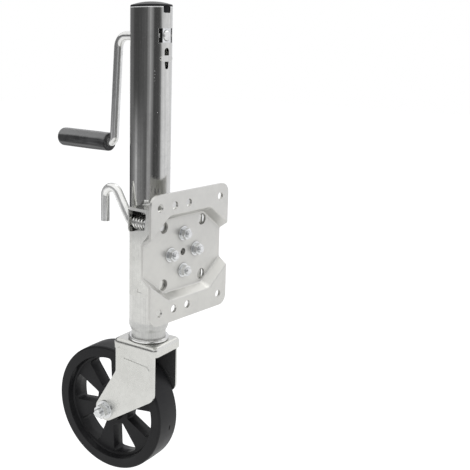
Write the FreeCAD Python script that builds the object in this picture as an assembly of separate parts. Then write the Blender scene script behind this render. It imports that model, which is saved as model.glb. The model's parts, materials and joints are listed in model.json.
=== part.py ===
import FreeCAD, Part
import math
import os

# Side-wind trailer jack with a swing-up plate mount and one caster wheel.
# Row frame: origin at the swivel centre on the mounting face of the plate,
# +Z up along the tube, +X along the plate, +Y from the plate to the tube.
Vec = FreeCAD.Vector
axisX = Vec(1, 0, 0)
axisY = Vec(0, 1, 0)
axisZ = Vec(0, 0, 1)

# Clearances
running_clearance = 0.05
face_clearance = 0.1
swing_clearance = 0.3
press_clearance = 0.02

# Outer tube
tube_od = 57.15
tube_wall = 2.6
tube_axis_y = 76.7
tube_top_z = 327.0
tube_bottom_z = -125.5
tube_swage_height = 5.5
tube_lip_gap = 0.3
tube_swage_share = 0.35

# Inner tube and its drive
inner_od = 50.0
inner_wall = 2.5
inner_top_z = 238.0
inner_bottom_z = -136.5
ram_travel = 247.5
key_z = -108.0
key_d = 5.6
key_slot_depth = 1.3
key_gap = 0.3
screw_od = 16.0
screw_bottom_z = -60.0
nut_length = 24.0
nut_chamfer = 1.0
screw_end_chamfer = 1.5
screw_top_chamfer = 0.8
screw_top_gap = 1.0
screw_collar_d = 24.0
screw_collar_h = 5.0

# Crank drive
crank_z = 289.5
rod_d = 12.7
crank_throw = 150.9
arm_top_y = 138.0
arm_bottom_y = 148.1
crank_top_bend = 17.0
crank_low_bend = 9.0
grip_d = 28.0
grip_flat_depth = 0.8
grip_flats = 8
grip_start_y = 157.0
grip_length = 105.0
grip_end_wall = 8.0
grip_end_round = 9.0
gear_module = 2.0
pinion_teeth = 12
gear_teeth = 16
gear_face = 6.0
pressure_angle = 20.0
tooth_backlash = 0.12
tooth_addendum = 0.85
tooth_dedendum = 1.3
hub_wall = 4.0
journal_d = 11.0
drive_pin_d = 3.0

# Thrust plate that carries the screw
thrust_plate_z = 255.5
thrust_plate_h = 8.0
thrust_washer_h = 1.5
thrust_bearing_h = 4.0
thrust_bearing_d = 32.0
thrust_washer_land = 5.0
lug_width = 22.0
lug_proud = 0.4
slot_width = 9.0
slot_tip_width = 5.4
slot_length = 28.0

# Window and bushes of the crank shaft
window_width = 26.0
window_height = 19.0
bush_block_width = 16.0
bush_lip = 3.0
bush_lip_t = 2.0
bush_flange_t = 1.2
bush_wall = 2.6
bush_face_in = 0.6
bush_countersink = 1.3
bush_proud = 1.2
ring_groove_t = 1.2
ring_groove_depth = 0.8
ring_side_gap = 0.05
ring_height = 2.0
ring_opening = 4.0
ring_wall = 3.0
shaft_proud = 1.4
shaft_end_chamfer = 1.0

# Top cap
cap_rise = 7.0
cap_rim = 2.6
cap_rim_round = 1.6
cap_skirt = 14.0
cap_wall = 2.5
cap_tab_width = 13.6
cap_tab_depth = 8.4
cap_tab_corner = 2.2
cap_tab_gap = 0.5
cap_edge_in = 0.15
cap_crown_share = 0.45
cap_crown_round = 80.0

# Mount plate
plate_width = 159.6
plate_height = 177.4
plate_t = 4.0
plate_corner_r = 14.0
dish_depth = 13.8
dish_wall_run = 7.7
dish_half_height = 51.0
dish_half_top = 40.0
dish_side_half_height = 21.0
dish_corner_r = 9.0
plate_bend = 3.0
wide_sheet_half_x = 145.0
wide_sheet_half_z = 105.0
mount_hole_d = 11.0
mount_hole_edge_x = 17.6
mount_hole_edge_z = 17.5
mount_hole_mid_pitch = 29.1
mount_hole_near_pitch = 27.9
index_hole_d = 16.0
index_offset = 39.7
centre_hole_d = 10.0

# Swivel joint of the plate
swivel_bolt_d = 9.5
swivel_bolt_circle_r = 26.0
swivel_nut_af = 14.3
swivel_nut_h = 7.6
swivel_nut_turns = (8, 26, 40, 17)
swivel_bolt_chamfer = 1.0
swivel_head_h = 6.0
swivel_washer_d = 20.0
swivel_washer_t = 1.4
swivel_bolt_stickout = 3.8
pivot_disc_d = 70.0
retainer_d = 86.0
retainer_t = 4.0

# Swivel bracket on the tube
bracket_width = 101.2
bracket_height = 124.0
bracket_t = 4.0
bracket_depth_y = 67.0
bracket_bend = 7.0
shelf_weld_gap = 0.05
side_window_top = 57.9
side_window_front = 36.5
side_window_front_low = 33.9
side_window_back_low = 26.5
side_window_slant = 2.0
side_window_r = 4.0
side_window_low_r = 2.0
mark_y = 44.0
mark_length = 8.0
mark_z = -55.6
mark_height = 4.8
mark_depth = 0.7

# Ear and lock pin
ear_t = 3.0
ear_corner_r = 4.0
ear_weld_reach = 1.0
ear_bottom_z = 27.0
ear_top_z = 61.0
ear_overhang = 0.8
lock_tip_gap = 0.4
lock_bend_y = 76.6
lock_apex_y = 104.8
lock_apex_z = 84.0
lock_leg_y = 125.5
lock_leg_top_z = 79.0
lock_leg_end_z = 32.5
lock_first_bend = 7.0
lock_apex_bend = 13.0
lock_tip_chamfer = 1.2
collar_d = 17.0
collar_t = 2.0
collar_y = 42.0
collar_pin_d = 3.0
collar_pin_length = 17.0
spring_od = 18.6
spring_wire = 2.4
spring_turns = 4
spring_wire_arcs = 12

# Swivel of the caster
caster_rest_angle = 7.0
race_d = 59.0
race_t = 2.4
race_rim_h = 4.6
race_rim_t = 2.2
swivel_bearing_gap = 1.2
king_pin_d = 16.0
king_plug_h = 12.0
king_head_d = 25.0
king_head_h = 5.5
king_washer_t = 2.0
king_washer_d = 27.0

# Fork
fork_cap_half_width = 33.4
fork_cap_front = 36.0
fork_cap_rear = 41.6
fork_cap_top_z = -141.6
fork_cap_round = 6.4
fork_cap_corner = 9.0
fork_cap_side_drop = 11.0
fork_cap_end_drop = 14.4
fork_cap_inner_round = 3.4
fork_cap_side_slant = 3.0
fork_t = 3.6
fork_leg_half_width = 29.6
fork_front_e = -31.0
fork_rear_e = 38.0
fork_front_low_z = -223.0
fork_rear_low_z = -194.0
fork_corner_r = 16.0
fork_rear_bend_r = 12.0
axle_boss_r = 17.5
crease_width = 1.6
crease_e = -19.0
crease_z = -174.0
crease_run = 42.0
crease_rise = 4.0
crease_tail_e = 4.0
crease_tail_z = 5.0

# Wheel and axle
wheel_offset_e = 58.5
wheel_cap_gap = 10.491
wheel_d = 193.0
wheel_width = 45.3
wheel_edge_r = 3.5
wheel_crown = 0.4
rim_face_inner_r = 80.0
rim_root_r = 78.3
rim_root_round = 3.0
web_half_t = 11.0
hub_r = 21.5
hub_base_r = 23.0
hub_base_round = 3.0
hub_half_length = 24.0
window_count = 6
window_angle = 10.0
window_outer_r = 73.0
window_inner_r = 32.0
window_half_angle = 16.5
window_draft = 1.3
window_corner_r = 5.0
window_inner_corner_r = 3.0
window_crown_r = 50.0
axle_d = 12.7
axle_nut_af = 19.05
axle_nut_h = 11.0
axle_head_h = 8.0
axle_washer_d = 28.0
axle_washer_t = 2.5
axle_stickout = 6.0
axle_end_chamfer = 1.2
axle_nut_turn = 15
sleeve_wall = 1.65
bushing_wall = 3.0
bushing_flange_r = 14.5
bushing_flange_t = 1.5
bushing_length = 16.0

# Sizes worked out from the values above
tube_r = tube_od / 2
tube_inner_r = tube_r - tube_wall
inner_r = inner_od / 2
inner_bore_r = inner_r - inner_wall
rod_r = rod_d / 2
grip_z = crank_z - crank_throw
cone_distance = gear_module * math.hypot(pinion_teeth, gear_teeth) / 2
pinion_cone = math.atan2(pinion_teeth, gear_teeth)
gear_cone = math.pi / 2 - pinion_cone
thrust_plate_top = thrust_plate_z + thrust_plate_h
thrust_middle_z = thrust_plate_z + thrust_plate_h / 2
gear_bottom_z = thrust_plate_top + thrust_washer_h + 2 * face_clearance
bearing_bottom_z = thrust_plate_z - thrust_bearing_h - 2 * face_clearance
screw_collar_z = bearing_bottom_z - screw_collar_h
mount_hole_z = plate_height / 2 - mount_hole_edge_z
mount_hole_wide_x = plate_width / 2 - mount_hole_edge_x
mount_hole_mid_x = mount_hole_wide_x - mount_hole_mid_pitch
mount_hole_near_x = mount_hole_mid_x - mount_hole_near_pitch
floor_back_y = dish_depth + plate_t
web_front_y = floor_back_y + swing_clearance
web_back_y = web_front_y + bracket_t
retainer_y = web_back_y + swing_clearance
retainer_back_y = retainer_y + retainer_t
ear_y = bracket_depth_y
race_z = inner_bottom_z
bearing_top_z = race_z - race_t
cap_under_z = fork_cap_top_z - fork_t
bush_face_y = math.sqrt(tube_inner_r ** 2 - (rod_r + bush_wall + bush_lip) ** 2)
pinion_back_y = bush_face_y - bush_flange_t - 2 * face_clearance
ring_y = tube_axis_y - tube_inner_r + ring_wall + bush_lip_t + 1.0
leg_inner_x = fork_leg_half_width - fork_t
fork_low_z = fork_cap_top_z - fork_cap_end_drop
wheel_rise = math.sqrt((wheel_d / 2) ** 2 - (wheel_offset_e - fork_cap_rear) ** 2)
wheel_z = fork_low_z - wheel_cap_gap - wheel_rise
fork_side_z = fork_cap_top_z - fork_cap_side_drop


def save(shape, node):
    shape.exportStep("parts/" + node + ".step")


def cylinder(r, start, direction, length):
    return Part.makeCylinder(r, length, start, direction)


def tube_point(x, e, z):
    """Point given by its offset from the tube axis."""
    return Vec(x, tube_axis_y + e, z)


def corner_wire(points, radii, place):
    """Closed wire through 2D points with rounded corners, placed in space."""
    starts = []
    ends = []
    mids = []
    count = len(points)
    for i in range(count):
        p = Vec(points[i][0], points[i][1], 0)
        a = Vec(points[i - 1][0], points[i - 1][1], 0) - p
        b = Vec(points[(i + 1) % count][0], points[(i + 1) % count][1], 0) - p
        a.normalize()
        b.normalize()
        if radii[i] == 0:
            starts.append(p)
            ends.append(p)
            mids.append(None)
            continue
        half = a.getAngle(b) / 2
        run = radii[i] / math.tan(half)
        bisector = a + b
        bisector.normalize()
        centre = p + bisector * (radii[i] / math.sin(half))
        starts.append(p + a * run)
        ends.append(p + b * run)
        mids.append(centre - bisector * radii[i])
    edges = []
    for i in range(count):
        if mids[i] is not None:
            edges.append(Part.Arc(place(starts[i]), place(mids[i]), place(ends[i])).toShape())
        following = starts[(i + 1) % count]
        if (following - ends[i]).Length > 1e-6:
            edges.append(Part.LineSegment(place(ends[i]), place(following)).toShape())
    return Part.Wire(edges)


def prism_along_y(points, radii, y0, y1):
    wire = corner_wire(points, radii, lambda p: Vec(p.x, y0, p.y))
    return Part.Face(wire).extrude(Vec(0, y1 - y0, 0))


def prism_along_x(points, radii, x0, x1):
    wire = corner_wire(points, radii, lambda p: Vec(x0, p.x, p.y))
    return Part.Face(wire).extrude(Vec(x1 - x0, 0, 0))


def turned(points, radii, place, centre, axis):
    """Solid of revolution of a rounded profile."""
    return Part.Face(corner_wire(points, radii, place)).revolve(centre, axis, 360)


def turned_z(points, radii, x=0.0, y=tube_axis_y):
    """Turned about a vertical axis from (radius, z) points."""
    return turned(points, radii, lambda p: Vec(x + p.x, y, p.y), Vec(x, y, 0), axisZ)


def turned_y(points, radii, x, z):
    """Turned about an axis along Y from (y, radius) points."""
    return turned(points, radii, lambda p: Vec(x, p.x, z + p.y), Vec(x, 0, z), axisY)


def turned_x(points, radii, y, z):
    """Turned about an axis along X from (x, radius) points."""
    return turned(points, radii, lambda p: Vec(p.x, y, z + p.y), Vec(0, y, z), axisX)


def rounded_box(x, y, z):
    """Box from three (low, high) pairs."""
    low = Vec(x[0], y[0], z[0])
    return Part.makeBox(x[1] - x[0], y[1] - y[0], z[1] - z[0], low)


def hex_prism(across_flats, start, direction, length, turn):
    """Hexagonal prism with chamfered ends, for nuts and bolt heads."""
    corner = across_flats / math.sqrt(3)
    points = []
    for i in range(7):
        angle = math.radians(turn + 60 * i)
        points.append(Vec(corner * math.cos(angle), corner * math.sin(angle), 0))
    solid = Part.Face(Part.makePolygon(points)).extrude(Vec(0, 0, length))
    slope = (corner - across_flats / 2) * 0.6
    profile = [(0, 0), (corner - slope * 2, 0), (corner, slope), (corner, length - slope)]
    profile += [(corner - slope * 2, length), (0, length)]
    barrel = turned(profile, [0] * 6, lambda p: Vec(p.x, 0, p.y), Vec(0, 0, 0), axisZ)
    solid = solid.common(barrel)
    solid.Placement = FreeCAD.Placement(start, FreeCAD.Rotation(axisZ, direction))
    return solid


def swept_rod(points, radii, diameter):
    """Round rod along straight runs joined by bends, in a plane of constant X."""
    path = []
    last = points[0]
    for i in range(1, len(points) - 1):
        a = points[i - 1] - points[i]
        b = points[i + 1] - points[i]
        a.normalize()
        b.normalize()
        half = a.getAngle(b) / 2
        run = radii[i - 1] / math.tan(half)
        bisector = a + b
        bisector.normalize()
        middle = points[i] + bisector * (radii[i - 1] / math.sin(half) - radii[i - 1])
        path.append(Part.LineSegment(last, points[i] + a * run).toShape())
        path.append(Part.Arc(points[i] + a * run, middle, points[i] + b * run).toShape())
        last = points[i] + b * run
    path.append(Part.LineSegment(last, points[-1]).toShape())
    ring = Part.Wire(Part.makeCircle(diameter / 2, points[0], points[1] - points[0]))
    return Part.Wire(path).makePipeShell([ring], True, False)


def largest_solid(shape):
    """The one solid of a boolean result."""
    return max(shape.Solids, key=lambda s: s.Volume)


# Outer tube with its rolled foot, crank window, thrust slots and cap notch
def make_outer_tube():
    lip_r = inner_r + tube_lip_gap
    swage_z = tube_bottom_z + tube_swage_height
    profile = [
        (tube_inner_r, tube_top_z),
        (tube_r, tube_top_z),
        (tube_r, swage_z),
        (lip_r + tube_wall * tube_swage_share, tube_bottom_z),
        (lip_r, tube_bottom_z),
        (lip_r, tube_bottom_z + tube_swage_height * tube_swage_share),
        (tube_inner_r, swage_z),
    ]
    body = turned_z(profile, [0, 0, tube_swage_height, 0, 0, 0, 0])
    front = tube_axis_y - tube_r - 1
    reach = tube_axis_y - tube_inner_r / 2
    window = rounded_box((-window_width / 2, window_width / 2), (front, reach),
                         (crank_z - window_height / 2, crank_z + window_height / 2))
    body = body.cut(window)
    body = body.cut(upright_slot(front, reach))
    body = body.cut(lug_shape(running_clearance, front, reach))
    body = body.cut(notch_shape(cap_tab_width / 2, tube_top_z - cap_tab_depth, front, reach))
    body = body.cut(cylinder(rod_r + bush_wall + press_clearance,
                             tube_point(0, 0, crank_z), axisY, tube_r + 1))
    body = body.cut(cylinder(key_d / 2 + press_clearance, tube_point(0, 0, key_z), axisY, tube_r + 1))
    return largest_solid(body)


def upright_slot(y0, y1):
    """Slot above and below the lug, full width at the top and narrower at its foot."""
    half = slot_length / 2
    wide = slot_width / 2
    tip = slot_tip_width / 2
    z = thrust_middle_z
    points = [(-tip, z - half), (tip, z - half), (wide, z), (wide, z + half), (-wide, z + half), (-wide, z)]
    return prism_along_y(points, [tip * 0.9, tip * 0.9, 0, wide * 0.98, wide * 0.98, 0], y0, y1)


def lug_shape(extra, y0, y1):
    """Cross lug of the thrust plate, grown by extra for its hole."""
    half = lug_width / 2 + extra
    side = thrust_plate_h / 2 + extra
    z = thrust_middle_z
    points = [(-half, z - side), (half, z - side), (half, z + side), (-half, z + side)]
    return prism_along_y(points, [side * 0.98] * 4, y0, y1)


def notch_shape(half, low, y0, y1):
    """Notch in the rim of the tube, or the tab in it, with rounded lower corners."""
    top = tube_top_z + cap_tab_gap
    points = [(-half, low), (half, low), (half, top), (-half, top)]
    return prism_along_y(points, [cap_tab_corner, cap_tab_corner, 0, 0], y0, y1)


# Black end cap with a domed top and a tab that sits in the notch
def make_top_cap():
    skirt_r = tube_inner_r - press_clearance
    base = tube_top_z
    top = base + cap_rise
    rim_r = tube_r - cap_edge_in
    profile = [
        (0, top - cap_wall),
        (skirt_r - cap_wall, base - cap_wall / 2),
        (skirt_r - cap_wall, base - cap_skirt),
        (skirt_r, base - cap_skirt),
        (skirt_r, base),
        (rim_r, base),
        (rim_r, base + cap_rim),
        (rim_r * cap_crown_share, top),
        (0, top),
    ]
    cap = turned_z(profile, [0, cap_wall, 0, 0, 0, 0, cap_rim_round, cap_crown_round, 0])
    half = cap_tab_width / 2 - running_clearance
    tab = notch_shape(half, base - cap_tab_depth + cap_tab_gap, tube_axis_y - tube_r,
                      tube_axis_y - skirt_r + cap_wall)
    tab = tab.common(cylinder(tube_inner_r + tube_wall / 2, tube_point(0, 0, base - cap_skirt), axisZ,
                              2 * cap_skirt))
    return largest_solid(cap.fuse(tab).removeSplitter())


# Block that carries the crank shaft in the window of the tube
def make_front_bush():
    front = tube_axis_y - tube_r + bush_face_in
    lip_y = math.sqrt(tube_inner_r ** 2 - (bush_block_width / 2) ** 2)
    lip_front = tube_axis_y - lip_y + face_clearance
    half = window_height / 2 - running_clearance
    block = rounded_box((-bush_block_width / 2, bush_block_width / 2),
                        (front, lip_front + bush_lip_t), (crank_z - half, crank_z + half))
    tall = half + bush_lip
    lip = rounded_box((-bush_block_width / 2, bush_block_width / 2), (lip_front, lip_front + bush_lip_t),
                      (crank_z - tall, crank_z + tall))
    r = rod_r + running_clearance
    sink = bush_countersink
    bore = turned_y([(front - 1, 0), (front - 1, r + sink + 1), (front + sink, r), (tube_axis_y, r),
                     (tube_axis_y, 0)], [0] * 5, 0, crank_z)
    return largest_solid(block.fuse(lip).cut(bore).removeSplitter())


# Flanged bush where the crank leaves the tube
def make_rear_bush():
    inner = rod_r + running_clearance
    outer = rod_r + bush_wall
    flange = outer + bush_lip
    y0 = tube_axis_y + bush_face_y
    profile = [
        (y0 - bush_flange_t, inner),
        (tube_axis_y + tube_r + bush_proud, inner),
        (tube_axis_y + tube_r + bush_proud, outer),
        (y0, outer),
        (y0, flange),
        (y0 - bush_flange_t, flange),
    ]
    return turned_y(profile, [0] * 6, 0, crank_z)


# Round plate across the tube; its lug shows in the cross slot
def make_thrust_plate():
    r = tube_inner_r - press_clearance
    plate = cylinder(r, tube_point(0, 0, thrust_plate_z), axisZ, thrust_plate_h)
    lug = lug_shape(0, tube_axis_y - tube_r - lug_proud, tube_axis_y - r * 0.8)
    bore = cylinder(journal_d / 2 + running_clearance, tube_point(0, 0, thrust_plate_z - 1),
                    axisZ, thrust_plate_h + 2)
    return largest_solid(plate.fuse(lug).cut(bore).removeSplitter())


def flat_ring(inner, outer, z, height):
    profile = [(inner, z), (outer, z), (outer, z + height), (inner, z + height)]
    return turned_z(profile, [0, 0, 0, 0])


def make_thrust_washer():
    return flat_ring(journal_d / 2 + running_clearance, thrust_bearing_d / 2 - thrust_washer_land,
                     thrust_plate_top + face_clearance, thrust_washer_h)


def make_thrust_bearing():
    z = bearing_bottom_z + face_clearance
    groove = thrust_bearing_h / 4
    inner = journal_d / 2 + running_clearance
    outer = thrust_bearing_d / 2
    mid = z + thrust_bearing_h / 2
    profile = [
        (inner, z), (outer, z), (outer, mid - groove / 2), (outer - 1, mid - groove / 2),
        (outer - 1, mid + groove / 2), (outer, mid + groove / 2), (outer, z + thrust_bearing_h),
        (inner, z + thrust_bearing_h),
    ]
    return turned_z(profile, [0] * 8)


# Bevel gears: teeth taper to the apex where the crank and screw axes cross
def involute_half_tooth(teeth, cone):
    """Half-width of a tooth against height above the pitch cone, in modules of the large end."""
    m = gear_module
    r_pitch = m * teeth / 2 / math.cos(cone)
    r_base = r_pitch * math.cos(math.radians(pressure_angle))
    pitch_half = math.pi * m / 4 - tooth_backlash
    inv_pitch = math.tan(math.radians(pressure_angle)) - math.radians(pressure_angle)
    heights = [-tooth_dedendum * m, -0.35 * m, 0.25 * m, tooth_addendum * m]
    outline = []
    for h in heights:
        r = max(r_pitch + h, r_base * 1.0005)
        angle = math.acos(r_base / r)
        half_angle = pitch_half / r_pitch + inv_pitch - (math.tan(angle) - angle)
        outline.append((h, (r_pitch + h) * half_angle))
    return outline


def bevel_body(teeth, cone, bore_r, hub_r, back):
    """Toothed bevel wheel on +Z with its apex at the origin and teeth facing the apex."""
    m = gear_module
    small = cone_distance - gear_face
    pitch_dir = Vec(math.sin(cone), 0, math.cos(cone))
    out_dir = Vec(math.cos(cone), 0, -math.sin(cone))
    root = -tooth_dedendum * m
    large_root = pitch_dir * cone_distance + out_dir * root
    small_root = (pitch_dir * cone_distance + out_dir * root) * (small / cone_distance)
    profile = [
        (bore_r, small_root.z), (small_root.x, small_root.z), (large_root.x, large_root.z),
        (hub_r, large_root.z + 1.0), (hub_r, back), (bore_r, back),
    ]
    wire = corner_wire(profile, [0] * 6, lambda p: Vec(p.x, 0, p.y))
    body = Part.Face(wire).revolve(Vec(0, 0, 0), axisZ, 360)
    outline = involute_half_tooth(teeth, cone)
    tooth = tooth_solid(outline, pitch_dir, out_dir, small)
    copies = []
    for i in range(teeth):
        copy = tooth.copy()
        copy.rotate(Vec(0, 0, 0), axisZ, 360.0 * i / teeth)
        copies.append(copy)
    return largest_solid(body.fuse(copies).removeSplitter())


def tooth_solid(outline, pitch_dir, out_dir, small):
    """One tooth as a ruled loft between its large end and its small end."""
    rings = []
    sink = 0.4
    for distance in (cone_distance, small):
        scale = distance / cone_distance
        points = []
        base_h, base_s = outline[0]
        levels = [(base_h - sink, base_s)] + outline
        for h, s in levels:
            points.append((pitch_dir * cone_distance + out_dir * h + axisY * s) * scale)
        for h, s in reversed(levels):
            points.append((pitch_dir * cone_distance + out_dir * h - axisY * s) * scale)
        points.append(points[0])
        rings.append(Part.makePolygon(points))
    return Part.makeLoft(rings, True, True)


def make_pinion():
    """Pinion on the crank shaft, on the side of the crank arm."""
    hub = rod_r + hub_wall
    body = bevel_body(pinion_teeth, pinion_cone, rod_r + press_clearance, hub, pinion_back_y)
    turn = FreeCAD.Rotation(axisZ, axisY)
    down = turn.multVec(axisX)
    body.Placement = FreeCAD.Placement(Vec(0, 0, 0), turn)
    spin = math.degrees(math.atan2(down.cross(Vec(0, 0, -1)).dot(axisY), down.dot(Vec(0, 0, -1))))
    body.rotate(Vec(0, 0, 0), axisY, spin)
    body.translate(tube_point(0, 0, crank_z))
    hole = drive_pin_hole_pinion(press_clearance)
    return largest_solid(body.cut(hole))


def drive_pin_hole_pinion(extra):
    y = pinion_back_y - drive_pin_d
    length = 2 * (rod_r + hub_wall) + 2
    return cylinder(drive_pin_d / 2 + extra, tube_point(-length / 2, y, crank_z), axisX, length)


def make_pinion_pin():
    y = pinion_back_y - drive_pin_d
    length = 2 * (rod_r + hub_wall) - 0.4
    return cylinder(drive_pin_d / 2, tube_point(-length / 2, y, crank_z), axisX, length)


def make_bevel_gear():
    """Gear on the screw, facing up to the crank shaft."""
    back = crank_z - gear_bottom_z
    hub = journal_d / 2 + hub_wall
    body = bevel_body(gear_teeth, gear_cone, journal_d / 2 + press_clearance, hub, back)
    body.rotate(Vec(0, 0, 0), axisX, 180)
    body.rotate(Vec(0, 0, 0), axisZ, 90 + 180.0 / gear_teeth)
    body.translate(tube_point(0, 0, crank_z))
    return largest_solid(body.cut(gear_pin_shape(press_clearance, 2.0)))


def gear_pin_shape(extra, overrun):
    length = 2 * (journal_d / 2 + hub_wall) + overrun
    z = gear_bottom_z + drive_pin_d
    return cylinder(drive_pin_d / 2 + extra, tube_point(-length / 2, 0, z), axisX, length)


def make_gear_pin():
    return gear_pin_shape(0, -0.4)


# Crank: one bent rod, shaft across the tube, arm and grip spindle
def make_crank_handle():
    grip_rod_end = grip_start_y + grip_length - grip_end_wall - 2.0
    points = [
        Vec(0, tube_axis_y - tube_r - shaft_proud, crank_z),
        Vec(0, arm_top_y, crank_z),
        Vec(0, arm_bottom_y, grip_z),
        Vec(0, grip_rod_end, grip_z),
    ]
    rod = swept_rod(points, [crank_top_bend, crank_low_bend], rod_d)
    hole = drive_pin_hole_pinion(press_clearance)
    low = rod_r - ring_groove_depth
    high = rod_r + 1
    groove = turned_y([(ring_y, low), (ring_y, high), (ring_y + ring_groove_t, high),
                       (ring_y + ring_groove_t, low)], [0] * 4, 0, crank_z)
    end_y = tube_axis_y - tube_r - shaft_proud
    c = shaft_end_chamfer
    bevel = turned_y([(end_y - 1, rod_r - c - 1), (end_y + c, rod_r), (end_y + c, high), (end_y - 1, high)],
                     [0] * 4, 0, crank_z)
    return largest_solid(rod.cut(hole).cut(groove).cut(bevel))


def make_crank_ring():
    """Snap ring that keeps the crank shaft against the window block."""
    inner = rod_r - ring_groove_depth + press_clearance
    outer = rod_r + ring_height
    near = ring_y + ring_side_gap
    far = ring_y + ring_groove_t - ring_side_gap
    ring = turned_y([(near, inner), (near, outer), (far, outer), (far, inner)], [0] * 4, 0, crank_z)
    gap = rounded_box((-ring_opening / 2, ring_opening / 2), (near - 1, far + 1), (crank_z, crank_z + rod_d))
    return largest_solid(ring.cut(gap))


# Grip: moulded sleeve with long flats and a rounded blind end
def make_grip():
    r = grip_d / 2
    y0 = grip_start_y
    y1 = grip_start_y + grip_length
    profile = [
        (y0, 0), (y1, 0), (y1, r), (y1 - grip_length * 0.4, r + 0.4), (y0, r - 0.6),
    ]
    body = turned_y(profile, [0, 0, grip_end_round, 60, 1.5], 0, grip_z)
    apothem = r - grip_flat_depth
    corner = apothem / math.cos(math.pi / grip_flats)
    points = []
    for i in range(grip_flats):
        angle = 2 * math.pi * (i + 0.5) / grip_flats
        points.append((corner * math.cos(angle), grip_z + corner * math.sin(angle)))
    body = body.common(prism_along_y(points, [3.0] * grip_flats, y0 - 1, y1 + 1))
    depth = grip_length - grip_end_wall
    bore = cylinder(rod_r + running_clearance, Vec(0, y0 - 1, grip_z), axisY, depth + 1)
    return largest_solid(body.cut(bore))


# Lead screw with its journal, collar and thread
def make_lead_screw():
    r = screw_od / 2
    top = crank_z - rod_r - screw_top_gap
    j = journal_d / 2
    low = screw_end_chamfer
    high = screw_top_chamfer
    profile = [
        (0, screw_bottom_z), (r - low, screw_bottom_z), (r, screw_bottom_z + low),
        (r, screw_collar_z), (screw_collar_d / 2, screw_collar_z),
        (screw_collar_d / 2, bearing_bottom_z), (j, bearing_bottom_z), (j, top - high), (j - high, top),
        (0, top),
    ]
    body = turned_z(profile, [0] * 10)
    return largest_solid(body.cut(gear_pin_shape(press_clearance, 2.0)))


# Inner tube with a long key slot, its nut and its king pin
def make_inner_tube():
    body = flat_ring(inner_bore_r, inner_r, inner_bottom_z, inner_top_z - inner_bottom_z)
    half = key_d / 2 + key_gap
    slot = rounded_box((-half, half), (tube_axis_y + inner_r - key_slot_depth, tube_axis_y + inner_r + 1),
                       (key_z - key_d, key_z + ram_travel + key_d))
    return largest_solid(body.cut(slot))


def make_guide_rivet():
    r = key_d / 2
    tip = inner_r - key_slot_depth + key_gap
    rivet = cylinder(r, tube_point(0, tip, key_z), axisY, tube_r + 2 - tip)
    return rivet.common(cylinder(tube_r, tube_point(0, 0, key_z - 10), axisZ, 20))


def make_lead_nut():
    r = inner_bore_r - press_clearance
    bore = screw_od / 2 + running_clearance
    z0 = inner_top_z - nut_length
    profile = [(bore, z0), (r - nut_chamfer, z0), (r, z0 + nut_chamfer), (r, inner_top_z),
               (bore, inner_top_z)]
    return turned_z(profile, [0] * 5)


def make_king_pin():
    r = king_pin_d / 2
    plug_r = inner_bore_r - press_clearance
    head_top = cap_under_z - king_washer_t - 2 * face_clearance
    head_low = head_top - king_head_h
    profile = [
        (0, inner_bottom_z + king_plug_h), (plug_r, inner_bottom_z + king_plug_h),
        (plug_r, inner_bottom_z), (r, inner_bottom_z), (r, head_top), (king_head_d / 2, head_top),
        (king_head_d / 2, head_low), (0, head_low),
    ]
    return turned_z(profile, [0, 0, 0, 0, 0, 0, 3.5, 0])


def make_king_washer():
    low = cap_under_z - face_clearance - king_washer_t
    return flat_ring(king_pin_d / 2 + running_clearance, king_washer_d / 2, low, king_washer_t)


def make_swivel_race():
    """Dished ring under the inner tube, rim turned down over the bearing."""
    inner = king_pin_d / 2 + press_clearance
    r = race_d / 2
    profile = [
        (inner, race_z), (r, race_z), (r, race_z - race_rim_h), (r - race_rim_t, race_z - race_rim_h),
        (r - race_rim_t, race_z - race_t), (inner, race_z - race_t),
    ]
    return turned_z(profile, [0, 1.8, 1.0, 1.0, 0.8, 0])


def make_swivel_bearing():
    top = bearing_top_z - face_clearance
    bottom = fork_cap_top_z + face_clearance
    outer = race_d / 2 - race_rim_t - swivel_bearing_gap
    return flat_ring(king_pin_d / 2 + running_clearance, outer, bottom, top - bottom)


# Fork: one pressing with a rounded cap, drop lips and two raked legs
def leg_outline():
    """Leg outline as (e, z) points with corner radii."""
    ex = wheel_offset_e
    r = axle_boss_r
    low = tangent_point(fork_front_e, fork_front_low_z, ex, wheel_z, r, 1)
    high = tangent_point(fork_rear_e, fork_rear_low_z, ex, wheel_z, r, -1)
    return low, high


def tangent_point(px, pz, cx, cz, r, side):
    """Point where a line from (px, pz) touches the circle, on the given side."""
    dx = cx - px
    dz = cz - pz
    distance = math.hypot(dx, dz)
    base = math.atan2(dz, dx)
    open_angle = math.asin(r / distance)
    run = math.sqrt(distance ** 2 - r ** 2)
    angle = base - side * open_angle
    return px + run * math.cos(angle), pz + run * math.sin(angle)


def make_leg(x0, x1):
    low, high = leg_outline()
    top = fork_side_z + fork_t / 2
    points = [
        (fork_rear_e, top), (fork_front_e, top), (fork_front_e, fork_front_low_z),
        low, (wheel_offset_e, wheel_z), high, (fork_rear_e, fork_rear_low_z),
    ]
    place = [(tube_axis_y + e, z) for e, z in points]
    radii = [0, 0, fork_corner_r, 0, 0, 0, fork_rear_bend_r]
    leg = prism_along_x(place, radii, x0, x1)
    boss = cylinder(axle_boss_r, tube_point(x0, wheel_offset_e, wheel_z), axisX, x1 - x0)
    return leg.fuse(boss).removeSplitter()


def pressed_box(half_x, y, z, corner, top_round):
    """Block with rounded upright corners and a rounded top rim."""
    block = rounded_box((-half_x, half_x), y, z)
    uprights = [e for e in block.Edges if abs(e.tangentAt(e.FirstParameter).z) > 0.9]
    block = block.makeFillet(corner, uprights)
    rim = [e for e in block.Edges if min(v.Z for v in e.Vertexes) > z[1] - 0.01]
    return block.makeFillet(top_round, rim)


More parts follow.
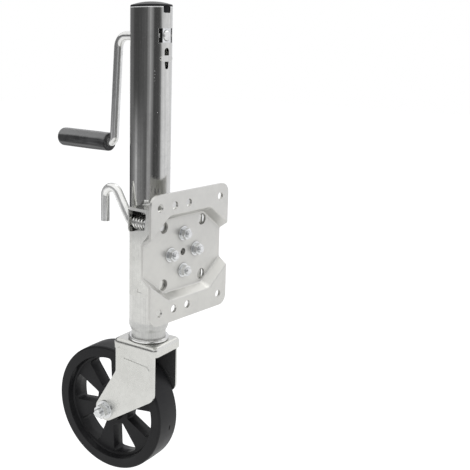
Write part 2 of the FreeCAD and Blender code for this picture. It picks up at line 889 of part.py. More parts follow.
def make_fork_cap():
    """Cap whose sides stand proud of the legs and step in to them."""
    t = fork_t
    y = (tube_axis_y - fork_cap_front, tube_axis_y + fork_cap_rear)
    low = fork_low_z
    outer = pressed_box(fork_cap_half_width, y, (low, fork_cap_top_z), fork_cap_corner, fork_cap_round)
    inner_y = (y[0] + t, y[1] - t)
    under = fork_cap_top_z - t
    wide = pressed_box(fork_cap_half_width - t, inner_y, (fork_side_z + t, under), fork_cap_corner - t,
                       fork_cap_inner_round)
    narrow = pressed_box(leg_inner_x, inner_y, (low - 1, under - 1), fork_cap_corner - t, t)
    shell = outer.cut([wide, narrow])
    run = fork_cap_corner
    slant = fork_cap_side_slant
    points = [
        (y[0] + run, low - 1), (y[1] - run, low - 1),
        (y[1] - run - slant, fork_side_z), (y[0] + run + slant, fork_side_z),
    ]
    for side in (-1, 1):
        window = prism_along_x(points, [0, 0, slant, slant], side * fork_leg_half_width,
                               side * (fork_cap_half_width + 1))
        shell = shell.cut(window)
    return shell


def make_fork():
    body = make_fork_cap()
    half = fork_leg_half_width
    body = body.fuse([make_leg(-half, -leg_inner_x), make_leg(leg_inner_x, half)])
    body = body.cut(cylinder(king_pin_d / 2 + running_clearance,
                             tube_point(0, 0, fork_low_z), axisZ, 2 * fork_cap_end_drop))
    body = body.cut(cylinder(axle_d / 2 + swing_clearance,
                             tube_point(-half - 1, wheel_offset_e, wheel_z), axisX, 2 * half + 2))
    for side in (-1, 1):
        body = body.cut(crease(side * half))
    return largest_solid(body.removeSplitter())


def crease(face_x):
    """Pressed line near the top of a leg, a shallow V groove."""
    start = tube_point(face_x, crease_e, crease_z)
    r = crease_width / 2
    run = cylinder(r, start, Vec(0, crease_run, crease_rise), crease_run)
    reach = math.hypot(crease_tail_e, crease_tail_z)
    tail = cylinder(r, start, Vec(0, -crease_tail_e, -crease_tail_z), reach)
    return run.fuse(tail)


# Wheel: one moulding with a flat rim, recessed web and six windows
def make_wheel():
    y = tube_axis_y + wheel_offset_e
    half = wheel_width / 2
    r = wheel_d / 2
    bore = axle_d / 2 + running_clearance + sleeve_wall + running_clearance + bushing_wall + press_clearance
    side = [
        (hub_half_length, bore), (hub_half_length, hub_r), (web_half_t, hub_base_r),
        (web_half_t, rim_root_r), (half, rim_face_inner_r), (half, r - wheel_crown), (0, r),
    ]
    radii = [0, 1.5, hub_base_round, rim_root_round, 1.0, wheel_edge_r, 0]
    mirrored = [(-x, v) for x, v in reversed(side[:-1])]
    body = turned_x(side + mirrored, radii + list(reversed(radii[:-1])), y, wheel_z)
    cuts = []
    for i in range(window_count):
        tool = window_tool()
        tool.rotate(Vec(0, y, wheel_z), axisX, window_angle + 360.0 * i / window_count)
        cuts.append(tool)
    return largest_solid(body.cut(cuts))


def window_tool():
    """Cutter for one wheel window, drafted both ways from the middle plane."""
    reach = web_half_t + 1.0
    waist = window_wire(0, 0)
    halves = []
    for x in (-reach, reach):
        halves.append(Part.makeLoft([waist, window_wire(x, window_draft)], True, True))
    return halves[0].fuse(halves[1])


def window_wire(x, grow):
    """Window outline between two radial spokes, about the direction +Y of the wheel."""
    outer = window_outer_r + grow
    inner = window_inner_r - grow
    half = math.radians(window_half_angle) + grow / ((outer + inner) / 2)
    points = [
        (inner * math.cos(half), -inner * math.sin(half)),
        (outer * math.cos(half), -outer * math.sin(half)),
        (outer / math.cos(half), 0),
        (outer * math.cos(half), outer * math.sin(half)),
        (inner * math.cos(half), inner * math.sin(half)),
    ]
    inner_r = window_inner_corner_r
    radii = [inner_r, window_corner_r, window_crown_r, window_corner_r, inner_r]
    y = tube_axis_y + wheel_offset_e
    return corner_wire(points, radii, lambda p: Vec(x, y + p.x, wheel_z + p.y))


def axle_rings(x_start, x_length, inner, outer):
    profile = [(x_start, inner), (x_start + x_length, inner), (x_start + x_length, outer), (x_start, outer)]
    return turned_x(profile, [0] * 4, tube_axis_y + wheel_offset_e, wheel_z)


def make_hub_bushings():
    inner = axle_d / 2 + 2 * running_clearance + sleeve_wall
    outer = inner + bushing_wall
    y = tube_axis_y + wheel_offset_e
    solids = []
    for side in (-1, 1):
        profile = [
            (side * (hub_half_length - bushing_length), inner),
            (side * (hub_half_length + bushing_flange_t), inner),
            (side * (hub_half_length + bushing_flange_t), bushing_flange_r),
            (side * hub_half_length, bushing_flange_r),
            (side * hub_half_length, outer),
            (side * (hub_half_length - bushing_length), outer),
        ]
        solids.append(turned_x(profile, [0] * 6, y, wheel_z))
    return Part.makeCompound(solids)


def make_axle_sleeve():
    half = fork_leg_half_width - fork_t - press_clearance
    inner = axle_d / 2 + running_clearance
    return axle_rings(-half, 2 * half, inner, inner + sleeve_wall)


def make_axle_bolt():
    face = fork_leg_half_width + axle_washer_t
    end = face + axle_nut_h + axle_stickout
    y = tube_axis_y + wheel_offset_e
    r = axle_d / 2
    c = axle_end_chamfer
    shank = turned_x([(-end, 0), (-end, r - c), (-end + c, r), (face, r), (face, 0)], [0] * 5, y, wheel_z)
    head = hex_prism(axle_nut_af, Vec(face, y, wheel_z), axisX, axle_head_h, axle_nut_turn)
    return largest_solid(shank.fuse(head).removeSplitter())


def make_axle_nut():
    face = fork_leg_half_width + axle_washer_t
    y = tube_axis_y + wheel_offset_e
    nut = hex_prism(axle_nut_af, Vec(-face, y, wheel_z), Vec(-1, 0, 0), axle_nut_h, axle_nut_turn)
    start = Vec(-face - axle_nut_h - 1, y, wheel_z)
    return largest_solid(nut.cut(cylinder(axle_d / 2 + press_clearance, start, axisX, axle_nut_h + 2)))


def make_axle_washers():
    inner = axle_d / 2 + swing_clearance
    near = axle_rings(-fork_leg_half_width - axle_washer_t, axle_washer_t, inner, axle_washer_d / 2)
    far = axle_rings(fork_leg_half_width, axle_washer_t, inner, axle_washer_d / 2)
    return Part.makeCompound([near, far])


# Mount plate: pressed sheet, flat flange with a dished floor
def dish_points(grow):
    """Hexagon of the dish, offset outwards by grow; it runs out through the plate sides."""
    slope_x = plate_width / 2 - dish_half_top
    slope_z = dish_half_height - dish_side_half_height
    length = math.hypot(slope_x, slope_z)
    top = dish_half_height + grow
    shift = grow * (length - slope_z) / slope_x
    corner_x = dish_half_top + grow * (length - slope_x) / slope_z
    tip_x = dish_half_top + dish_half_height * slope_x / slope_z + grow * length / slope_z
    corner_x = min(corner_x, dish_half_top + shift + grow)
    return [(-tip_x, 0), (-corner_x, -top), (corner_x, -top), (tip_x, 0), (corner_x, top), (-corner_x, top)]


def dish_wire(grow, y, corner):
    return corner_wire(dish_points(grow), [corner] * 6, lambda p: Vec(p.x, y, p.y))


def dish_loft(mouth_grow, floor_grow, floor_y):
    """Tapered block of the dish, from just in front of the flange to the given depth."""
    mouth = dish_wire(mouth_grow + dish_wall_run / dish_depth, -1.0, dish_corner_r + mouth_grow)
    floor = dish_wire(floor_grow, floor_y, dish_corner_r + floor_grow)
    return Part.makeLoft([mouth, floor], True, True)


def rim_edges(body, y):
    """Edges of the dish in the plane at y, without the border of the wide sheet."""
    found = []
    for e in body.Edges:
        middle = e.valueAt((e.FirstParameter + e.LastParameter) / 2)
        flat = all(abs(v.Y - y) < 0.01 for v in e.Vertexes)
        if flat and abs(middle.z) < wide_sheet_half_z - 1 and abs(middle.x) < wide_sheet_half_x - 1:
            found.append(e)
    return found


def rectangle(half_x, half_z):
    return [(-half_x, -half_z), (half_x, -half_z), (half_x, half_z), (-half_x, half_z)]


def make_mount_plate():
    """Pressed in a wide sheet first, so that the bends run out past the outline."""
    wall_run = dish_wall_run / dish_depth
    side_t = plate_t / math.sin(math.atan2(dish_depth, dish_wall_run))
    punch = dish_loft(dish_wall_run, 0, dish_depth)
    back = dish_loft(dish_wall_run + side_t, side_t - wall_run * plate_t, floor_back_y)
    border = rectangle(wide_sheet_half_x, wide_sheet_half_z)
    sheet = prism_along_y(border, [0] * 4, 0, plate_t)
    keep = prism_along_y(border, [0] * 4, 0, floor_back_y + 1)
    body = sheet.fuse(back).cut(punch).common(keep)
    outer_bend = plate_bend + plate_t * 0.6
    for y, radius in ((0, plate_bend), (plate_t, plate_bend), (dish_depth, plate_bend),
                      (floor_back_y, outer_bend)):
        body = body.makeFillet(radius, rim_edges(body, y))
    outline = prism_along_y(rectangle(plate_width / 2, plate_height / 2), [plate_corner_r] * 4,
                            -1, floor_back_y + 1)
    return largest_solid(body.common(outline).cut(plate_holes()))


def plate_holes():
    tools = []
    deep = floor_back_y + 2
    for x in (-mount_hole_wide_x, -mount_hole_mid_x, -mount_hole_near_x, mount_hole_wide_x):
        for z in (-mount_hole_z, mount_hole_z):
            tools.append(cylinder(mount_hole_d / 2, Vec(x, -1, z), axisY, deep))
    for x in (-index_offset, index_offset):
        for z in (-index_offset, index_offset):
            tools.append(cylinder(index_hole_d / 2, Vec(x, -1, z), axisY, deep))
    tools.append(cylinder(centre_hole_d / 2, Vec(0, -1, 0), axisY, deep))
    for x, z in swivel_bolt_centres():
        tools.append(cylinder(swivel_bolt_d / 2 + swing_clearance, Vec(x, -1, z), axisY, deep))
    return Part.makeCompound(tools)


def swivel_bolt_centres():
    r = swivel_bolt_circle_r
    return [(0, r), (r, 0), (0, -r), (-r, 0)]


# Swivel stack: spacer disc in the bracket web, retainer disc behind it, four bolts
def disc_with_holes(diameter, y0, y1):
    disc = cylinder(diameter / 2, Vec(0, y0, 0), axisY, y1 - y0)
    tools = [cylinder(centre_hole_d / 2, Vec(0, y0 - 1, 0), axisY, y1 - y0 + 2)]
    for x, z in swivel_bolt_centres():
        tools.append(cylinder(swivel_bolt_d / 2 + swing_clearance, Vec(x, y0 - 1, z), axisY, y1 - y0 + 2))
    return largest_solid(disc.cut(Part.makeCompound(tools)))


def make_swivel_bolts():
    washer_front = dish_depth - swivel_washer_t
    tip = washer_front - swivel_nut_h - swivel_bolt_stickout
    r = swivel_bolt_d / 2
    solids = []
    for x, z in swivel_bolt_centres():
        c = swivel_bolt_chamfer
        profile = [(tip, 0), (tip, r - c), (tip + c, r), (retainer_back_y, r), (retainer_back_y, 0)]
        shank = turned_y(profile, [0] * 5, x, z)
        head = hex_prism(swivel_nut_af, Vec(x, retainer_back_y, z), axisY, swivel_head_h, 0)
        solids.append(largest_solid(shank.fuse(head).removeSplitter()))
    return Part.makeCompound(solids)


def make_swivel_washers():
    y = dish_depth - swivel_washer_t
    solids = []
    for x, z in swivel_bolt_centres():
        inner = swivel_bolt_d / 2 + swing_clearance
        outer = swivel_washer_d / 2
        profile = [(y, inner), (dish_depth, inner), (dish_depth, outer), (y, outer)]
        solids.append(turned_y(profile, [0] * 4, x, z))
    return Part.makeCompound(solids)


def make_swivel_nuts():
    y = dish_depth - swivel_washer_t
    solids = []
    for (x, z), turn in zip(swivel_bolt_centres(), swivel_nut_turns):
        nut = hex_prism(swivel_nut_af, Vec(x, y, z), Vec(0, -1, 0), swivel_nut_h, turn)
        start = Vec(x, y - swivel_nut_h - 1, z)
        bore = cylinder(swivel_bolt_d / 2 + press_clearance, start, axisY, swivel_nut_h + 2)
        solids.append(largest_solid(nut.cut(bore)))
    return Part.makeCompound(solids)


# Swivel bracket: pressed box welded to the tube
def make_swivel_bracket():
    half_x = bracket_width / 2
    half_z = bracket_height / 2
    t = bracket_t
    outer = rounded_box((-half_x, half_x), (web_front_y, bracket_depth_y), (-half_z, half_z))
    edges = [e for e in outer.Edges if max(abs(v.Y - web_front_y) for v in e.Vertexes) < 0.01]
    outer = outer.makeFillet(bracket_bend, edges)
    inner = rounded_box((-half_x + t, half_x - t), (web_back_y, bracket_depth_y + 1),
                        (-half_z + t, half_z - t))
    edges = [e for e in inner.Edges if max(abs(v.Y - web_back_y) for v in e.Vertexes) < 0.01]
    inner = inner.makeFillet(bracket_bend - t, edges)
    body = outer.cut(inner)
    tube_room = cylinder(tube_r + shelf_weld_gap, tube_point(0, 0, -half_z - 1), axisZ, bracket_height + 2)
    body = body.cut(tube_room)
    body = body.cut(cylinder(pivot_disc_d / 2 + 2 * face_clearance, Vec(0, 0, 0), axisY, web_back_y + 1))
    body = body.cut(lock_bore(web_front_y - 1, web_back_y + bracket_bend))
    body = body.cut(side_window())
    mark = rounded_box((-half_x - 1, -half_x + mark_depth), (mark_y, mark_y + mark_length),
                       (mark_z, mark_z + mark_height))
    return largest_solid(body.cut(mark).removeSplitter())


def lock_bore(y0, y1):
    return cylinder(rod_r + running_clearance, Vec(-index_offset, y0, index_offset), axisY, y1 - y0)


def side_window():
    """Opening in the side wall that shows the lock pin's spring."""
    back = bracket_depth_y + 5
    points = [
        (side_window_front, side_window_top), (back, side_window_top), (back, side_window_back_low),
        (side_window_front + side_window_slant, side_window_front_low),
    ]
    radii = [side_window_r, 0, 0, side_window_low_r]
    return prism_along_x(points, radii, -bracket_width / 2 - 1, -bracket_width / 2 + bracket_t + 1)


def make_pin_ear():
    """Rear ear that guides the lock pin, welded to the side wall and the tube."""
    left = -bracket_width / 2 - ear_overhang
    inner_e = ear_y - tube_axis_y
    right = -math.sqrt(tube_r ** 2 - inner_e ** 2) + ear_weld_reach
    points = [(left, ear_bottom_z), (right, ear_bottom_z), (right, ear_top_z), (left, ear_top_z)]
    r = ear_corner_r
    ear = prism_along_y(points, [r, 0, 0, r], ear_y + press_clearance, ear_y + ear_t)
    ear = ear.cut(cylinder(tube_r + shelf_weld_gap, tube_point(0, 0, 0), axisZ, 2 * ear_top_z))
    return largest_solid(ear.cut(lock_bore(ear_y - 1, ear_y + ear_t + 1)))


# Lock pin: bent rod with a hooked handle, collar, cross pin and spring
def lock_tip_y():
    return floor_back_y + lock_tip_gap


def make_lock_pin():
    x = -index_offset
    points = [
        Vec(x, lock_tip_y(), index_offset), Vec(x, lock_bend_y, index_offset),
        Vec(x, lock_apex_y, lock_apex_z), Vec(x, lock_leg_y, lock_leg_top_z),
        Vec(x, lock_leg_y, lock_leg_end_z),
    ]
    radii = [lock_first_bend, lock_apex_bend, lock_apex_bend]
    rod = swept_rod(points, radii, rod_d)
    c = lock_tip_chamfer
    tip = lock_tip_y()
    ring = turned_y([(tip - 1, rod_r - c - 1), (tip + c, rod_r), (tip + c, rod_r + 2), (tip - 1, rod_r + 2)],
                    [0] * 4, x, index_offset)
    return largest_solid(rod.cut(ring).cut(collar_pin_shape(press_clearance, 2.0)))


def make_pin_collar():
    inner = rod_r + press_clearance
    profile = [(collar_y, inner), (collar_y + collar_t, inner), (collar_y + collar_t, collar_d / 2),
               (collar_y, collar_d / 2)]
    return turned_y(profile, [0, 0, 0.5, 0.5], -index_offset, index_offset)


def collar_pin_shape(extra, overrun):
    """Cross pin in front of the collar, which takes the push of the spring."""
    length = collar_pin_length + overrun
    y = collar_y - collar_pin_d / 2 - face_clearance
    start = Vec(-index_offset, y, index_offset - length / 2)
    return cylinder(collar_pin_d / 2 + extra, start, axisZ, length)


def make_collar_pin():
    return collar_pin_shape(0, 0)


def make_pin_spring():
    start = collar_y + collar_t + face_clearance + spring_wire / 2
    end = ear_y - face_clearance - spring_wire / 2
    mean_r = (spring_od - spring_wire) / 2
    height = end - start
    helix = Part.makeHelix(height / spring_turns, height, mean_r)
    share = 360 / spring_wire_arcs
    arcs = []
    for i in range(spring_wire_arcs):
        arc = Part.makeCircle(spring_wire / 2, Vec(mean_r, 0, 0), axisY, share * i, share * (i + 1))
        arcs.append(arc)
    ring = Part.Wire(arcs)
    coil = Part.Wire(helix.Edges).makePipeShell([ring], True, True)
    turn = FreeCAD.Rotation(axisZ, axisY)
    coil.Placement = FreeCAD.Placement(Vec(-index_offset, start, index_offset), turn)
    return coil


def turn_caster(shape):
    """Turn a caster piece about the tube axis to the angle it stands at."""
    shape.rotate(tube_point(0, 0, 0), axisZ, caster_rest_angle)
    return shape


def build():
    os.makedirs("parts", exist_ok=True)
    save(make_mount_plate(), "mount_plate")
    save(disc_with_holes(pivot_disc_d, floor_back_y, retainer_y), "pivot_disc")
    save(disc_with_holes(retainer_d, retainer_y, retainer_back_y), "retainer_disc")
    save(make_swivel_bolts(), "swivel_bolts")
    save(make_swivel_washers(), "swivel_washers")
    save(make_swivel_nuts(), "swivel_nuts")
    save(make_swivel_bracket(), "swivel_bracket")
    save(make_outer_tube(), "outer_tube")
    save(make_top_cap(), "top_cap")
    save(make_front_bush(), "front_shaft_block")
    save(make_rear_bush(), "rear_shaft_bush")
    save(make_thrust_plate(), "thrust_plate")
    save(make_thrust_washer(), "thrust_washer")
    save(make_thrust_bearing(), "thrust_bearing")
    save(make_guide_rivet(), "guide_rivet")
    save(make_pin_ear(), "pin_ear")
    save(make_pin_spring(), "pin_spring")
    save(make_lock_pin(), "lock_pin")
    save(make_pin_collar(), "pin_collar")
    save(make_collar_pin(), "collar_pin")
    save(make_crank_handle(), "crank_handle")
    save(make_crank_ring(), "crank_ring")
    save(make_pinion(), "bevel_pinion")
    save(make_pinion_pin(), "pinion_pin")
    save(make_grip(), "crank_grip")
    save(make_lead_screw(), "lead_screw")
    save(make_bevel_gear(), "bevel_gear")
    save(make_gear_pin(), "gear_pin")
    save(make_inner_tube(), "inner_tube")
    save(make_lead_nut(), "lead_nut")
    save(make_king_pin(), "king_pin")
    save(make_swivel_race(), "swivel_race")
    save(turn_caster(make_king_washer()), "king_washer")
    save(turn_caster(make_swivel_bearing()), "swivel_bearing")
    save(turn_caster(make_fork()), "fork")
    save(turn_caster(make_axle_bolt()), "axle_bolt")
    save(turn_caster(make_axle_nut()), "axle_nut")
    save(turn_caster(make_axle_washers()), "axle_washers")
    save(turn_caster(make_axle_sleeve()), "axle_sleeve")
    save(turn_caster(make_wheel()), "wheel")
    save(turn_caster(make_hub_bushings()), "hub_bushings")


build()
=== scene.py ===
import bpy
import bmesh
import json
import math
from mathutils import Matrix, Vector


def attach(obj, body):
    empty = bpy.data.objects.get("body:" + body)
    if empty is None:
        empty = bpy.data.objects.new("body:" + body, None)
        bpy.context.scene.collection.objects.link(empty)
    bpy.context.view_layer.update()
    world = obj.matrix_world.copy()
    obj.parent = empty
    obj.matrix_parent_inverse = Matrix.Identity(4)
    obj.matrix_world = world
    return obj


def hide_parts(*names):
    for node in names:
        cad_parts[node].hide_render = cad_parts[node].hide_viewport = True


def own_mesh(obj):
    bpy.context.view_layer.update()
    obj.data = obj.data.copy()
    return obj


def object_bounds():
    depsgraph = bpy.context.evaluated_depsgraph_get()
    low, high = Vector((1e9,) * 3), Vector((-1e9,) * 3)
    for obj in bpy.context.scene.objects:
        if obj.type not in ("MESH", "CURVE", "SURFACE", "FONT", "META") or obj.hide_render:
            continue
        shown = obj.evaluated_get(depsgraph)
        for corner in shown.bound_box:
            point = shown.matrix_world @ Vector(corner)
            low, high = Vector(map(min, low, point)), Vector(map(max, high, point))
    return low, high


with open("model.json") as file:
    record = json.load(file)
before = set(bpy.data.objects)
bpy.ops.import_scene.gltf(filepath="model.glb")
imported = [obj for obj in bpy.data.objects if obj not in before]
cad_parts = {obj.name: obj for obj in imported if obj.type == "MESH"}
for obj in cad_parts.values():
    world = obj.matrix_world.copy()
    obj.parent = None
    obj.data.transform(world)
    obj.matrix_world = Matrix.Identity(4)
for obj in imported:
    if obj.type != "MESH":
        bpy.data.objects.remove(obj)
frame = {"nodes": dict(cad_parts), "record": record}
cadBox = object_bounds()
nodes = frame["nodes"]
print("frame loaded:", len(nodes), "nodes")


cameraSet = {
    "place": (-0.8302, -0.6904, 0.2850),
    "turn": (77.547, 0.0, -44.858),  # degrees
    "lens": 62.5,  # millimetres, on a 36 mm wide sensor
    "sensor": 36.0,
    "shift": (0.2528, -0.0337),
    "clip": (0.05, 50.0),
}


def makeCamera():
    data = bpy.data.cameras.new("jackCamera")
    data.lens = cameraSet["lens"]
    data.sensor_width = cameraSet["sensor"]
    data.shift_x, data.shift_y = cameraSet["shift"]
    data.clip_start, data.clip_end = cameraSet["clip"]
    camera = bpy.data.objects.new("jackCamera", data)
    camera.location = cameraSet["place"]
    camera.rotation_euler = [math.radians(a) for a in cameraSet["turn"]]
    bpy.context.scene.collection.objects.link(camera)
    bpy.context.scene.camera = camera


makeCamera()
bpy.context.scene.view_settings.view_transform = "Standard"
print("camera placed")


def put(tree, kind, inputs, **settings):
    # a new node with its settings, and its inputs linked or set
    node = tree.nodes.new(kind)
    for name, value in settings.items():
        setattr(node, name, value)
    for name, value in inputs.items():
        if isinstance(value, bpy.types.NodeSocket):
            tree.links.new(value, node.inputs[name])
        else:
            node.inputs[name].default_value = value
    return node


def ramp(tree, value, stops, smooth=True):
    node = put(tree, "ShaderNodeValToRGB", {"Fac": value})
    node.color_ramp.interpolation = "EASE" if smooth else "LINEAR"
    while len(node.color_ramp.elements) < len(stops):
        node.color_ramp.elements.new(0.5)
    for element, (place, shade) in zip(node.color_ramp.elements, stops):
        element.position = place
        element.color = (*shade, 1.0)
    return node.outputs["Color"]


def maths(tree, operation, *values, clamp=False):
    return put(tree, "ShaderNodeMath", dict(enumerate(values)), operation=operation,
               use_clamp=clamp).outputs[0]


def vectors(tree, operation, *values):
    return put(tree, "ShaderNodeVectorMath", dict(enumerate(values)), operation=operation).outputs


def parts(tree, vector):
    return put(tree, "ShaderNodeSeparateXYZ", {"Vector": vector}).outputs


def scaled(tree, colour, level):
    return put(tree, "ShaderNodeVectorMath", {0: colour, "Scale": level}, operation="SCALE").outputs[0]


def between(tree, value, low, high, start=0.0, stop=1.0, **settings):
    # low to high of the value becomes start to stop
    return put(tree, "ShaderNodeMapRange", {"Value": value, "From Min": low, "From Max": high,
                                            "To Min": start, "To Max": stop}, **settings).outputs[0]


def blend(tree, mask, first, second):
    return put(tree, "ShaderNodeMix", {0: mask, 6: first, 7: second}, data_type="RGBA").outputs["Result"]


def noise(tree, where, scale, detail, **inputs):
    return put(tree, "ShaderNodeTexNoise",
               {"Vector": where, "Scale": scale, "Detail": detail, **inputs}).outputs["Fac"]


def grey(level):
    return (level, level, level, 1)


def newGroup(name, inputs, outputs):
    group = bpy.data.node_groups.new(name, "ShaderNodeTree")
    for label, kind, value in inputs:
        socket = group.interface.new_socket(label, in_out="INPUT", socket_type=kind)
        if value is not None:
            socket.default_value = value
    for label, kind in outputs:
        group.interface.new_socket(label, in_out="OUTPUT", socket_type=kind)
    return group, group.nodes.new("NodeGroupInput").outputs, group.nodes.new("NodeGroupOutput").inputs


def useGroup(tree, group, inputs):
    return put(tree, "ShaderNodeGroup", inputs, node_tree=group).outputs


def emptyMaterial(name):
    material = bpy.data.materials.new(name)
    material.use_nodes = True
    material.node_tree.nodes.clear()
    return material, material.node_tree


def newMaterial(name):
    material, tree = emptyMaterial(name)
    surface = tree.nodes.new("ShaderNodeBsdfPrincipled")
    put(tree, "ShaderNodeOutputMaterial", {"Surface": surface.outputs["BSDF"]})
    return material, tree, surface, tree.nodes.new("ShaderNodeTexCoord").outputs["Object"]


def addObject(name, bm, material):
    mesh = bpy.data.meshes.new(name)
    bm.to_mesh(mesh)
    bm.free()
    mesh.materials.append(material)
    thing = bpy.data.objects.new(name, mesh)
    bpy.context.scene.collection.objects.link(thing)
    return thing


tubeAxis = (0, 0.0767, 0)  # a point on the axis of the jack's tube

studio = {
    "floorSize": 9.0,
    "floorDrop": 0.248,  # the jack hangs from its plate, with room below for the ram at full reach
    "floorTones": {"matte": 0.9, "pale": 0.8, "shaded": 0.34},
    "skyLight": 0.72,
    "skyTint": (0.97, 0.98, 1.0, 1),
    "lamps": [
        {"name": "softRight", "place": (0.7, -1.5, 2.4), "aim": (0, 0.05, -0.05), "size": 1.5, "power": 30},
        {"name": "softLeft", "place": (-1.5, -0.5, 2.3), "aim": (0, 0.1, -0.1), "size": 1.3, "power": 16},
        {"name": "softTop", "place": (0.1, 0.5, 2.6), "aim": (0, 0.1, 0), "size": 1.5, "power": 16},
    ],
}


def mirrorRays(tree, path):
    # 1 for what shiny and clear surfaces see
    return maths(tree, "MAXIMUM", path["Is Glossy Ray"], path["Is Transmission Ray"])


def makeWorld():
    # camera and mirror rays meet plain white, the rest a soft sky
    world = bpy.data.worlds.new("studioWorld")
    bpy.context.scene.world = world
    world.use_nodes = True
    tree = world.node_tree
    tree.nodes.clear()
    path = tree.nodes.new("ShaderNodeLightPath").outputs
    white = maths(tree, "MAXIMUM", path["Is Camera Ray"], mirrorRays(tree, path))
    light = put(tree, "ShaderNodeBackground", {"Color": studio["skyTint"], "Strength": studio["skyLight"]})
    plain = put(tree, "ShaderNodeBackground", {"Color": grey(1), "Strength": 1.0})
    mix = put(tree, "ShaderNodeMixShader", {0: white, 1: light.outputs[0], 2: plain.outputs[0]})
    put(tree, "ShaderNodeOutputWorld", {"Surface": mix.outputs[0]})


def makeFloor():
    tones = studio["floorTones"]
    material, tree = emptyMaterial("paleFloor")
    path = tree.nodes.new("ShaderNodeLightPath").outputs
    matte = put(tree, "ShaderNodeBsdfDiffuse", {"Color": grey(tones["matte"])})
    white = put(tree, "ShaderNodeEmission", {"Color": grey(1), "Strength": 1.0})
    pale = put(tree, "ShaderNodeEmission", {"Color": grey(1), "Strength": tones["pale"]})
    shaded = put(tree, "ShaderNodeBsdfDiffuse", {"Color": grey(tones["shaded"])})
    lifted = put(tree, "ShaderNodeAddShader", {0: pale.outputs[0], 1: shaded.outputs[0]})
    toCamera = put(tree, "ShaderNodeMixShader",
                   {0: path["Is Camera Ray"], 1: matte.outputs[0], 2: lifted.outputs[0]})
    final = put(tree, "ShaderNodeMixShader",
                {0: mirrorRays(tree, path), 1: toCamera.outputs[0], 2: white.outputs[0]})
    put(tree, "ShaderNodeOutputMaterial", {"Surface": final.outputs[0]})
    bm = bmesh.new()
    bmesh.ops.create_grid(bm, x_segments=1, y_segments=1, size=studio["floorSize"])
    bmesh.ops.translate(bm, verts=bm.verts, vec=(0, 0, cadBox[0].z - studio["floorDrop"]))
    addObject("floor", bm, material)


def addGlow(name, bm, material, tree, colour, strength):
    # a lit shape that only shiny surfaces see
    glow = put(tree, "ShaderNodeEmission", {"Color": colour, "Strength": strength})
    put(tree, "ShaderNodeOutputMaterial", {"Surface": glow.outputs[0]})
    material.cycles.emission_sampling = "NONE"
    thing = addObject(name, bm, material)
    thing.visible_camera = False
    thing.visible_diffuse = False
    thing.visible_shadow = False


ringSet = {
    "radius": 1.55,
    "height": 1.18,
    "steps": 96,
    "feet": [(0, 0.0), (232, 0.0), (238, 0.071), (283, 0.071), (288, 0.0), (360, 0.0)],  # degrees, rise
    "footBlur": 0.012,
    "footTone": 0.95,
    "blend": (0.25, 0.50),  # heights between the low shades and the high ones
    # shades seen by polished metal: degrees round the tube, grey value
    "high": [(0, 0.86), (46, 0.80), (60, 0.18), (102, 0.17), (121, 0.085), (150, 0.08), (175, 0.105),
             (197, 0.13), (208, 0.26), (219, 0.46), (229, 0.28), (240, 0.08), (262, 0.09), (274, 0.17),
             (288, 0.82), (330, 0.98), (360, 0.86)],
    "low": [(0, 0.86), (46, 0.80), (60, 0.10), (74, 0.07), (102, 0.22), (121, 0.30), (136, 0.62),
            (150, 0.27), (175, 0.23), (197, 0.13), (208, 0.40), (219, 0.40), (229, 0.19), (240, 0.07),
            (262, 0.09), (274, 0.17), (288, 0.82), (330, 0.98), (360, 0.86)],
    "blueTint": 1.03,
    "streakScale": 120.0,
    "streakTones": (0.78, 1.22),
}


def makeRing():
    # a ring of soft grey shades round the set
    bm = bmesh.new()
    foot = Vector((ringSet["radius"], 0, cadBox[0].z))
    ends = [bm.verts.new(foot), bm.verts.new(foot + Vector((0, 0, ringSet["height"])))]
    edge = bm.edges.new(ends)
    bmesh.ops.spin(bm, geom=ends + [edge], cent=(0, 0, 0), axis=(0, 0, 1), angle=math.tau,
                   steps=ringSet["steps"], use_merge=True)
    bmesh.ops.translate(bm, verts=bm.verts, vec=tubeAxis)
    material, tree = emptyMaterial("shadeRing")
    where = tree.nodes.new("ShaderNodeTexCoord").outputs["Object"]
    x, y, z = parts(tree, vectors(tree, "SUBTRACT", where, tubeAxis)[0])
    turn = maths(tree, "DIVIDE", maths(tree, "ARCTAN2", y, x), math.tau)
    share = maths(tree, "FLOORED_MODULO", turn, 1.0)
    high, low = (ramp(tree, share, [(a / 360, (v, v, v * ringSet["blueTint"])) for a, v in ringSet[name]])
                 for name in ("high", "low"))
    feet = ramp(tree, share, [(a / 360, (v, v, v)) for a, v in ringSet["feet"]], False)
    height = maths(tree, "SUBTRACT", z, cadBox[0].z)
    change = between(tree, height, *ringSet["blend"], interpolation_type="SMOOTHSTEP")
    fine = put(tree, "ShaderNodeTexNoise", {"W": share, "Scale": ringSet["streakScale"], "Detail": 5.0,
                                            "Roughness": 0.75}, noise_dimensions="1D")
    streak = between(tree, fine.outputs[0], 0.32, 0.68, *ringSet["streakTones"])
    streaked = scaled(tree, blend(tree, change, low, high), streak)
    rise = between(tree, maths(tree, "SUBTRACT", height, feet), 0.0, ringSet["footBlur"],
                   interpolation_type="SMOOTHSTEP")
    tone = blend(tree, rise, grey(ringSet["footTone"]), streaked)
    addGlow("shadeRing", bm, material, tree, tone, 1.0)


panelSet = {"place": (0.75, -0.1, 1.55), "turn": 27, "radius": 1.2, "core": 0.4, "centre": 1.9, "rim": 1.0}


